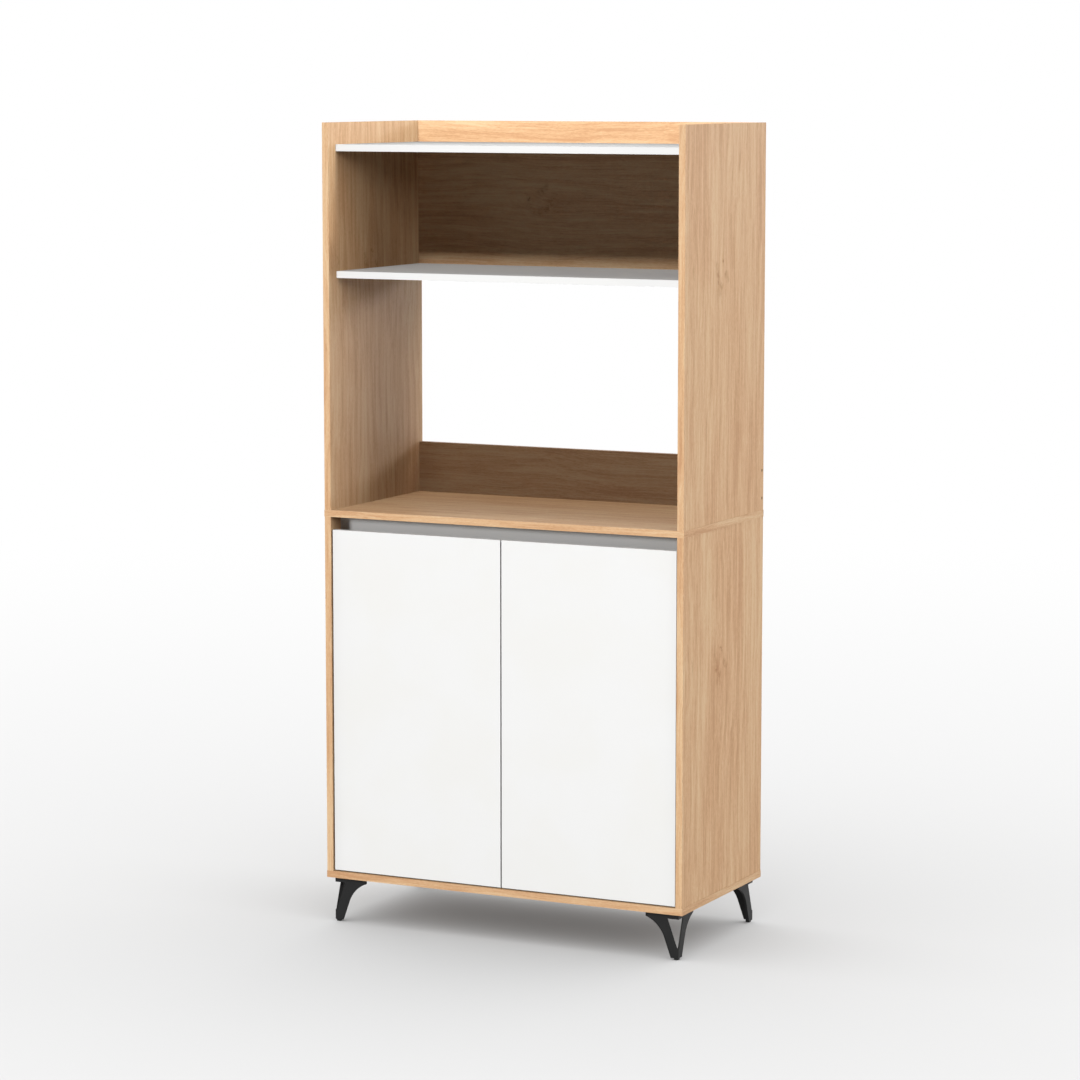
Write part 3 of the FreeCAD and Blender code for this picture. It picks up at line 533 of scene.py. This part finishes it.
def knot(finish, vector, centre):
    """Bends the grain round a knot. Gives the bent vector and how dark the knot is there."""
    ragged = finish.math("SUBTRACT", finish.layer(vector, KNOT_RAGGED), NOISE_MIDDLE)
    depth, across, along = finish.split(vector)
    off_across = finish.math("SUBTRACT", across, centre[0])
    off_along = finish.math("SUBTRACT", along, centre[1])
    tear_across = finish.math("MULTIPLY", ragged, KNOT_TEAR_ACROSS)
    tear_along = finish.math("MULTIPLY", ragged, KNOT_TEAR_ALONG)
    torn_across = finish.math("ADD", off_across, tear_across)
    torn_along = finish.math("SUBTRACT", off_along, tear_along)

    def bell(u, w, shift_across, shift_along, wide, long):
        """One at a mark's middle, falling to nought round it."""
        u = finish.math("DIVIDE", finish.math("SUBTRACT", u, shift_across), wide)
        w = finish.math("DIVIDE", finish.math("SUBTRACT", w, shift_along), long)
        squares = finish.math("ADD", finish.math("MULTIPLY", u, u), finish.math("MULTIPLY", w, w))
        return finish.math("EXPONENT", finish.math("MULTIPLY", squares, -1.0))

    swell = bell(off_across, off_along, *KNOT_SWELL)
    moved = finish.math("MULTIPLY", finish.math("MULTIPLY", swell, off_across), KNOT_PULL)
    bent = finish.join(depth, finish.math("SUBTRACT", across, moved), along)
    dark = 0.0
    for *mark, strength in KNOT_MARKS:
        spot = finish.math("MULTIPLY", bell(torn_across, torn_along, *mark), strength)
        dark = finish.math("MAXIMUM", spot, dark)
    feather = finish.ease(finish.layer(vector, KNOT_FEATHER), FEATHER_EDGE, FEATHER_LEAST)
    return bent, finish.math("MULTIPLY", dark, feather)


def wood_finish(name, grain, shift, look, knot_place=None):
    """Printed light oak: broad tone, wandering streaks, fine fibre and short pores."""
    finish = Finish(name)
    vector = grain_vector(finish, grain)
    if knot_place:
        vector, dark_knot = knot(finish, vector, knot_place)
    vector = finish.vector_math("ADD", vector, shift)
    sway = finish.math("SUBTRACT", finish.layer(vector, OAK_SWAY), NOISE_MIDDLE)
    drift = finish.math("MULTIPLY", sway, SWAY_REACH)
    swayed = finish.vector_math("ADD", vector, finish.join(drift, drift, 0.0))
    broad = finish.layer(swayed, OAK_BROAD)
    streak = finish.layer(swayed, OAK_STREAK)
    line = finish.layer(swayed, OAK_LINE)
    fibre = finish.layer(vector, OAK_FIBRE)
    tone = finish.weighted((broad, streak, line, fibre), OAK_TONE)
    pores = finish.ease(finish.layer(swayed, OAK_PORES), PORE_EDGE)
    colour = finish.blend(finish.ease(tone, OAK_MID_EDGE), look.wood_light, look.wood_mid)
    colour = finish.blend(finish.ease(tone, OAK_DARK_EDGE), colour, look.wood_dark)
    colour = finish.blend(finish.math("MULTIPLY", pores, PORE_TINT), colour, look.wood_knot)
    if knot_place:
        colour = finish.blend(dark_knot, colour, look.wood_knot)
    finish.set(
        Base_Color=colour,
        Roughness=finish.gloss(fibre, OAK_GLOSS_EDGE, look.wood_roughness, OAK_GLOSS_SPREAD),
        Specular_IOR_Level=OAK_SPECULAR,
    )
    relief = finish.weighted((line, pores, fibre), OAK_RELIEF)
    finish.bump(relief, OAK_RELIEF_STRENGTH, OAK_RELIEF_DEPTH)
    return finish


def times(colour, factor):
    """A colour made darker or paler by one factor."""
    return tuple(value * factor for value in colour)


def even_finish(name, surface, grain, colour, roughness, **sockets):
    """A surface of one colour with clouds of a second tone, changes of gloss and a fine relief."""
    finish = Finish(name)
    layers = {
        "grain": finish.layer(finish.place, grain),
        "cloud": finish.layer(finish.place, surface.cloud),
    }
    second = tuple(value * level for value, level in zip(colour, surface.second_tone))
    gloss_layer = layers[surface.gloss_layer]
    finish.set(
        Base_Color=finish.blend(finish.ease(layers["cloud"], surface.cloud_edge), colour, second),
        Roughness=finish.gloss(gloss_layer, surface.gloss_edge, roughness, surface.gloss_spread),
        **sockets,
    )
    finish.bump(layers["grain"], surface.relief, surface.relief_depth)
    return finish


def laminate_finish(name, colour, roughness):
    """Smooth white laminate with a faint pressed texture and slight changes of gloss."""
    return even_finish(
        name, LAMINATE, LAMINATE_PEBBLE, colour, roughness, Specular_IOR_Level=LAMINATE_SPECULAR
    )


def moulded_finish(name, grain, colour, roughness, specular):
    """Moulded plastic with a fine spark-eroded grain."""
    return even_finish(name, MOULDED, grain, colour, roughness, Specular_IOR_Level=specular)


def metal_finish(name, look):
    """Plated metal: fine drawn lines or a cast grain, with slight stains."""
    setting, roughness, grain, metallic = METALS[name]
    return even_finish(name, METAL, grain, getattr(look, setting), roughness, Metallic=metallic)


def hardboard_finish(look):
    """Thin back board: raw pressed fibre behind, white lacquer inside."""
    finish = Finish("hardboard_back")
    fleck = finish.layer(finish.place, HARDBOARD_FLECK)
    cloud = finish.layer(finish.place, HARDBOARD_CLOUD)
    weave = finish.layer(finish.place, HARDBOARD_WEAVE)
    dark, pale = (times(look.hardboard, level) for level in (HARDBOARD_DARK, HARDBOARD_PALE))
    raw = finish.blend(finish.ease(fleck, HARDBOARD_EDGE), dark, pale)
    raw = finish.blend(finish.math("MULTIPLY", cloud, HARDBOARD_CLOUDING), raw, look.hardboard)
    inside = finish.math("LESS_THAN", finish.split(finish.facing)[1], -FACING)
    finish.set(
        Base_Color=finish.blend(inside, raw, look.white),
        Roughness=finish.ease(inside, (0.0, 1.0), RAW_ROUGHNESS, LACQUER_ROUGHNESS),
        Specular_IOR_Level=HARDBOARD_SPECULAR,
    )
    finish.bump(weave, FIBRE_RELIEF, FIBRE_DEPTH)
    return finish


def dowel_finish(look):
    """Bare beech with short flecks."""
    finish = Finish("beech_dowel")
    fleck = finish.layer(finish.place, DOWEL_FLECK)
    finish.set(
        Base_Color=finish.blend(
            finish.ease(fleck, DOWEL_EDGE), look.beech, times(look.beech, DOWEL_DARK)
        ),
        Roughness=DOWEL_ROUGHNESS,
    )
    finish.bump(fleck, FIBRE_RELIEF, FIBRE_DEPTH)
    return finish


def screw_tree(name):
    """Geometry nodes that put one turned screw with a cross recess on each point.

    A screw is a line of levels, each with its own radius, wrapped in a circle."""
    tree = bpy.data.node_groups.new(name, "GeometryNodeTree")
    tree.interface.new_socket("Geometry", in_out="OUTPUT", socket_type="NodeSocketGeometry")
    tree.interface.new_socket("Geometry", in_out="INPUT", socket_type="NodeSocketGeometry")
    kinds = dict.fromkeys(SCREW_SIZES, "NodeSocketFloat")
    kinds.update({"Sides": "NodeSocketInt", "Material": "NodeSocketMaterial"})
    sockets = {
        size: tree.interface.new_socket(size, in_out="INPUT", socket_type=kind).identifier
        for size, kind in kinds.items()
    }
    nodes = Nodes(tree)
    given = nodes.add("NodeGroupInput").outputs

    def by_level(values):
        """A value for each level of the line, from the crown to the point."""
        switch = nodes.add("GeometryNodeIndexSwitch")
        switch.data_type = "FLOAT"
        while len(switch.index_switch_items) < len(values):
            switch.index_switch_items.new()
        nodes.put(switch.inputs["Index"], nodes.add("GeometryNodeInputIndex").outputs[0])
        for socket, value in zip(list(switch.inputs)[1:], values):
            nodes.put(socket, value)
        return switch.outputs[0]

    under_seat = nodes.math("ADD", given["Head height"], SEAT_STEP)
    point_start = nodes.math("SUBTRACT", given["Length"], given["Point length"])
    shank = given["Shank radius"]
    profile = (
        (0.0, given["Crown radius"]),
        (given["Shoulder depth"], given["Head radius"]),
        (given["Head height"], given["Seat radius"]),
        (under_seat, shank),
        (point_start, shank),
        (given["Length"], nodes.math("MULTIPLY", shank, TIP_SHARE)),
    )
    depths, radii = zip(*profile)
    line = nodes.add("GeometryNodeMeshLine", Count=len(profile))
    height = nodes.add("ShaderNodeCombineXYZ", Z=nodes.math("MULTIPLY", by_level(depths), -1.0))
    shaped = nodes.add("GeometryNodeSetPosition", Geometry=line.outputs[0],
                       Position=height.outputs[0])
    curve = nodes.add("GeometryNodeMeshToCurve", Mesh=shaped.outputs[0])
    sized = nodes.add("GeometryNodeSetCurveRadius", Curve=curve.outputs[0], Radius=by_level(radii))
    ring = nodes.add("GeometryNodeCurvePrimitiveCircle", Resolution=given["Sides"], Radius=1.0)
    body = nodes.add(
        "GeometryNodeCurveToMesh", Curve=sized.outputs[0], Profile_Curve=ring.outputs[0],
        Scale=nodes.add("GeometryNodeInputRadius").outputs[0], Fill_Caps=True,
    )
    cut = nodes.add("GeometryNodeMeshBoolean")
    cut.operation = "DIFFERENCE"
    cut.solver = "EXACT"
    nodes.put(cut.inputs["Mesh 1"], body.outputs[0])
    nodes.put(cut.inputs["Self Intersection"], True)
    # A cutter's middle is on the head's top, so it is twice as long and deep as the cut.
    deep = nodes.math("MULTIPLY", given["Recess depth"], 2.0)
    long = nodes.math("MULTIPLY", given["Recess reach"], 2.0)
    wide = given["Recess width"]
    for x, y in ((long, wide), (wide, long)):
        size = nodes.add("ShaderNodeCombineXYZ", X=x, Y=y, Z=deep)
        cutter = nodes.add("GeometryNodeMeshCube", Size=size.outputs[0])
        nodes.put(cut.inputs["Mesh 2"], cutter.outputs[0])
    clean = nodes.add("GeometryNodeMergeByDistance", Geometry=cut.outputs[0], Distance=WELD)
    axis = nodes.add("GeometryNodeInputNamedAttribute", Name="screw_axis")
    axis.data_type = "FLOAT_VECTOR"
    aim = nodes.add("FunctionNodeAlignRotationToVector", Vector=axis.outputs[0])
    points = nodes.add("GeometryNodeMeshToPoints", Mesh=given["Geometry"])
    spread = nodes.add("GeometryNodeInstanceOnPoints", Points=points.outputs[0],
                       Instance=clean.outputs[0], Rotation=aim.outputs[0])
    solid = nodes.add("GeometryNodeRealizeInstances", Geometry=spread.outputs[0])
    dressed = nodes.add("GeometryNodeSetMaterial", Geometry=solid.outputs[0],
                        Material=given["Material"])
    nodes.add("NodeGroupOutput", Geometry=dressed.outputs[0])
    return tree, sockets


def loose_parts(node):
    """The separate solids of a CAD node, each as a list of points."""
    mesh = bmesh.new()
    mesh.from_mesh(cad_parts[node].data)
    bmesh.ops.remove_doubles(mesh, verts=mesh.verts, dist=SAME_POINT)
    reached = set()
    parts = []
    for start in mesh.verts:
        if start in reached:
            continue
        reached.add(start)
        queue = [start]
        found = []
        while queue:
            vertex = queue.pop()
            found.append(vertex.co.copy())
            for edge in vertex.link_edges:
                other = edge.other_vert(vertex)
                if other not in reached:
                    reached.add(other)
                    queue.append(other)
        parts.append(found)
    mesh.free()
    return parts


def measure_screw(points):
    """Reads a plain CAD screw: the middle of its head's top, the way that faces, and its sizes."""
    low = Vector(min(point[i] for point in points) for i in range(3))
    high = Vector(max(point[i] for point in points) for i in range(3))
    extent = high - low
    middle = (low + high) / 2
    pairs = {i: abs(extent[(i + 1) % 3] - extent[(i + 2) % 3]) for i in range(3)}
    axis = min(pairs, key=pairs.get)
    levels = sorted({round(point[axis], LEVEL_DIGITS) for point in points})

    def radius_at(level):
        return max(
            math.hypot(*(point[i] - middle[i] for i in range(3) if i != axis))
            for point in points if abs(point[axis] - level) < SAME_LEVEL
        )

    if radius_at(levels[-1]) > radius_at(levels[0]):
        levels.reverse()
    top, under, tip = levels[0], levels[1], levels[-1]
    facing = Vector((0.0, 0.0, 0.0))
    facing[axis] = 1.0 if top > tip else -1.0
    head = middle.copy()
    head[axis] = top
    sizes = {
        "head_radius": radius_at(top), "shank_radius": radius_at(tip),
        "head_height": abs(top - under), "length": abs(top - tip),
    }
    return head, facing, {name: round(size, SIZE_DIGITS) for name, size in sizes.items()}


def plain_mesh(maker, name):
    """The evaluated result of an object's modifiers as a plain object at the origin."""
    graph = bpy.context.evaluated_depsgraph_get()
    mesh = bpy.data.meshes.new_from_object(maker.evaluated_get(graph))
    mesh.name = name
    made = bpy.data.objects.new(name, mesh)
    bpy.context.scene.collection.objects.link(made)
    bpy.data.objects.remove(maker)
    return made


def screw_set(tree, sockets, node, form, material, shape):
    """One mesh with a detailed screw in the place of each plain one of a CAD node."""
    screws = sorted(
        (measure_screw(points) for points in loose_parts(node)),
        key=lambda screw: tuple(round(value, LEVEL_DIGITS) for value in screw[0]),
    )
    heads, facings, sizes = zip(*screws)
    size = sizes[0]
    points = bpy.data.meshes.new(f"{node}_points")
    points.from_pydata(heads, [], [])
    axes = points.attributes.new("screw_axis", "FLOAT_VECTOR", "POINT")
    for item, facing in zip(axes.data, facings):
        item.vector = facing
    maker = bpy.data.objects.new(f"{node}_maker", points)
    bpy.context.scene.collection.objects.link(maker)
    modifier = maker.modifiers.new("Screws", "NODES")
    modifier.node_group = tree
    pan = form == "pan"
    radius = size["head_radius"]
    height = size["head_height"]
    values = {
        "Head radius": radius,
        "Crown radius": radius * shape.crown if pan else radius,
        "Shoulder depth": height * ((1 - shape.shoulder) if pan else FLAT_RIM),
        "Head height": height,
        "Seat radius": radius if pan else size["shank_radius"],
        "Shank radius": size["shank_radius"],
        "Point length": size["length"] * shape.point,
        "Length": size["length"],
        "Recess reach": radius * shape.recess_reach,
        "Recess width": radius * shape.recess_width,
        "Recess depth": height * shape.recess_depth,
        "Sides": shape.sides,
        "Material": material,
    }
    for name, value in values.items():
        modifier[sockets[name]] = value
    return plain_mesh(maker, f"{node}_detailed")


class CABINET_OT_wood_boards(bpy.types.Operator):
    """Dress the printed oak boards, each with its own stretch of grain"""

    bl_idname = "cabinet.wood_boards"
    bl_label = "Oak boards"

    def execute(self, context):
        look = context.scene.cabinet_finish
        boards = [(name, "Z") for name in UPRIGHT_BOARDS] + [(name, "X") for name in LEVEL_BOARDS]
        for number, (name, grain) in enumerate(boards):
            shift = tuple(step * number for step in GRAIN_SHIFT)
            wood_finish(f"oak_{name}", grain, shift, look, KNOTS.get(name)).dress(name)
        return {"FINISHED"}


class CABINET_OT_white_boards(bpy.types.Operator):
    """Dress the white shelves, the top, the grip rail and the doors"""

    bl_idname = "cabinet.white_boards"
    bl_label = "White boards and doors"

    def execute(self, context):
        look = context.scene.cabinet_finish
        laminate_finish("white_laminate", look.white, look.white_roughness).dress(*WHITE_BOARDS)
        laminate_finish("door_laminate", look.door, look.white_roughness).dress(*DOORS)
        return {"FINISHED"}


class CABINET_OT_back(bpy.types.Operator):
    """Dress the hardboard back of the cupboard"""

    bl_idname = "cabinet.back"
    bl_label = "Hardboard back"

    def execute(self, context):
        hardboard_finish(context.scene.cabinet_finish).dress("lower_back_panel")
        return {"FINISHED"}


class CABINET_OT_legs(bpy.types.Operator):
    """Dress the moulded legs"""

    bl_idname = "cabinet.legs"
    bl_label = "Legs"

    def execute(self, context):
        look = context.scene.cabinet_finish
        leg = moulded_finish("black_leg", LEG_GRAIN, look.leg, roughness=0.46, specular=0.25)
        leg.dress(*LEGS)
        return {"FINISHED"}


class CABINET_OT_hinges(bpy.types.Operator):
    """Dress the hinges' cups, pins, arms and plates"""

    bl_idname = "cabinet.hinges"
    bl_label = "Hinges"

    def execute(self, context):
        pieces = ("hinge_cups", "hinge_pins", "hinge_arms", "hinge_plates")
        nodes = [f"{side}_{piece}" for side in SIDES for piece in pieces]
        metal_finish("hinge_steel", context.scene.cabinet_finish).dress(*nodes)
        return {"FINISHED"}


class CABINET_OT_fittings(bpy.types.Operator):
    """Dress the cams, their bolts, the dowels and the shelf supports"""

    bl_idname = "cabinet.fittings"
    bl_label = "Cams, dowels and shelf pins"

    def execute(self, context):
        look = context.scene.cabinet_finish
        metal_finish("cast_cam", look).dress("cam_locks")
        metal_finish("zinc_bolt", look).dress("cam_bolts")
        dowel_finish(look).dress("wood_dowels")
        pin = moulded_finish("shelf_pin_plastic", PIN_GRAIN, look.pin, roughness=0.35, specular=0.5)
        pin.dress("shelf_pins")
        return {"FINISHED"}


class CABINET_OT_screws(bpy.types.Operator):
    """Put detailed screws in the place of the plain ones"""

    bl_idname = "cabinet.screws"
    bl_label = "Screws"

    def execute(self, context):
        look = context.scene.cabinet_finish
        shape = context.scene.cabinet_screws
        tree, sockets = screw_tree("Cross-recess screws")
        finishes = {slot: metal_finish(metal, look) for slot, metal in SCREW_METALS.items()}
        for node, body, slot, form in SCREW_SETS:
            made = screw_set(tree, sockets, node, form, finishes[slot].material, shape)
            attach(made, body)
            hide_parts(node)
        return {"FINISHED"}


class CABINET_OT_stage(bpy.types.Operator):
    """Set the floor, the lamps, the sky and the camera"""

    bl_idname = "cabinet.stage"
    bl_label = "Stage"

    def execute(self, context):
        stage = context.scene.cabinet_stage
        context.scene.view_settings.view_transform = "Standard"
        floor = self.make_floor(stage)
        self.make_sky(context, stage)
        middle = (CAD_BOX[0] + CAD_BOX[1]) / 2
        for name, (state, nodes, width) in LAMPS.items():
            azimuth, elevation, power = (
                getattr(stage, f"{name}_{setting}") for setting in ("azimuth", "elevation", "power")
            )
            level = math.cos(elevation)
            toward = Vector((
                math.sin(azimuth) * level, -math.cos(azimuth) * level, math.sin(elevation)
            ))
            place = middle + toward * stage.lamp_distance
            lamp = self.make_lamp(f"{name}_lamp", power, place, middle, stage.lamp_size * width)
            lamp.data.cycles.max_bounces = stage.lamp_bounces
            pieces = [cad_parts[node] for node in nodes]
            self.aim_at(lamp, state, pieces if state == "INCLUDE" else [floor] + pieces)
        above = Vector((0.0, 0.0, stage.sheet_height))
        sheet = self.make_lamp("floor_sheet", stage.sheet_power, above, Vector(), stage.sheet_size)
        self.aim_at(sheet, "INCLUDE", [floor])
        self.make_camera(context, stage)
        return {"FINISHED"}

    def make_floor(self, stage):
        """A wide floor that turns white behind the object and gives little light back to it."""
        half = stage.floor_size / 2
        mesh = bpy.data.meshes.new("studio_floor")
        corners = [(-half, -half, 0), (half, -half, 0), (half, half, 0), (-half, half, 0)]
        mesh.from_pydata(corners, [], [(0, 1, 2, 3)])
        floor = bpy.data.objects.new("studio_floor", mesh)
        bpy.context.scene.collection.objects.link(floor)
        finish = Finish("studio_floor")
        seen = finish.seen()
        dim = times(stage.floor_tone, stage.floor_bounce)
        finish.set(
            Base_Color=finish.blend(seen, dim, stage.floor_tone),
            Roughness=1.0,
            Specular_IOR_Level=0.0,
            Emission_Color=WHITE_LIGHT,
            Emission_Strength=finish.math("MULTIPLY", seen, stage.floor_glow),
        )
        distance = finish.vector_math("LENGTH", finish.place)
        far = finish.ease(distance, (stage.fade_start, stage.fade_end))
        fade = finish.math("MULTIPLY", seen, far)
        white = finish.add("ShaderNodeEmission")
        mix = finish.add("ShaderNodeMixShader")
        shaders = (finish.shader.outputs["BSDF"], white.outputs["Emission"])
        for socket, value in zip(mix.inputs, (fade, *shaders)):
            finish.put(socket, value)
        finish.put(finish.output.inputs["Surface"], mix.outputs[0])
        mesh.materials.append(finish.material)
        return floor

    def make_sky(self, context, stage):
        """Even light from all round, and plain white to the camera, gloss and glass."""
        world = bpy.data.worlds.new("studio_sky")
        context.scene.world = world
        world.use_nodes = True
        nodes = Nodes(world.node_tree)
        mix = nodes.add("ShaderNodeMixShader")
        nodes.put(mix.inputs[0], nodes.seen())
        for socket, strength in zip(mix.inputs[1:], (stage.sky_strength, 1.0)):
            light = nodes.add("ShaderNodeBackground", Color=WHITE_LIGHT, Strength=strength)
            nodes.put(socket, light.outputs[0])
        nodes.add("ShaderNodeOutputWorld", Surface=mix.outputs[0])

    def make_lamp(self, name, power, place, target, size):
        """A large soft lamp that faces a target."""
        data = bpy.data.lights.new(name, "AREA")
        data.size = size
        data.energy = power
        lamp = bpy.data.objects.new(name, data)
        bpy.context.scene.collection.objects.link(lamp)
        lamp.visible_camera = False
        lamp.location = place
        lamp.rotation_euler = (target - place).to_track_quat("-Z", "Y").to_euler()
        return lamp

    def aim_at(self, lamp, state, pieces):
        """Let a lamp light only some pieces, or all but these."""
        group = bpy.data.collections.new(f"{lamp.name}_pieces")
        for piece in pieces:
            group.objects.link(piece)
        for member in group.collection_objects:
            member.light_linking.link_state = state
        lamp.light_linking.receiver_collection = group

    def make_camera(self, context, stage):
        data = bpy.data.cameras.new("photo_camera")
        data.lens = stage.lens
        data.sensor_width = SENSOR_WIDTH
        camera = bpy.data.objects.new("photo_camera", data)
        context.scene.collection.objects.link(camera)
        camera.location = stage.camera_place
        camera.rotation_euler = (math.pi / 2 - stage.camera_pitch, 0.0, stage.camera_yaw)
        context.scene.camera = camera


OPERATORS = (
    CABINET_OT_wood_boards,
    CABINET_OT_white_boards,
    CABINET_OT_back,
    CABINET_OT_legs,
    CABINET_OT_hinges,
    CABINET_OT_fittings,
    CABINET_OT_screws,
    CABINET_OT_stage,
)

GROUPS = {
    "cabinet_finish": CabinetFinish,
    "cabinet_screws": CabinetScrews,
    "cabinet_stage": CabinetStage,
}


class CABINET_PT_panel(bpy.types.Panel):
    """Lists the cabinet's operators and settings"""

    bl_idname = "CABINET_PT_panel"
    bl_label = "Cabinet"
    bl_space_type = "VIEW_3D"
    bl_region_type = "UI"
    bl_category = "Cabinet"

    def draw(self, context):
        for group in GROUPS:
            box = self.layout.box()
            settings = getattr(context.scene, group)
            for name in settings.bl_rna.properties.keys():
                if name not in ("rna_type", "name"):
                    box.prop(settings, name)
        for operator in OPERATORS:
            self.layout.operator(operator.bl_idname)


def register():
    for group in GROUPS.values():
        bpy.utils.register_class(group)
    for name, group in GROUPS.items():
        setattr(bpy.types.Scene, name, bpy.props.PointerProperty(type=group))
    for operator in OPERATORS:
        bpy.utils.register_class(operator)
    bpy.utils.register_class(CABINET_PT_panel)


def unregister():
    bpy.utils.unregister_class(CABINET_PT_panel)
    for operator in reversed(OPERATORS):
        bpy.utils.unregister_class(operator)
    for name in GROUPS:
        delattr(bpy.types.Scene, name)
    for group in reversed(GROUPS.values()):
        bpy.utils.unregister_class(group)


def main():
    register()
    for operator in OPERATORS:
        area, name = operator.bl_idname.split(".")
        getattr(getattr(bpy.ops, area), name)()


if __name__ == "__main__":
    main()
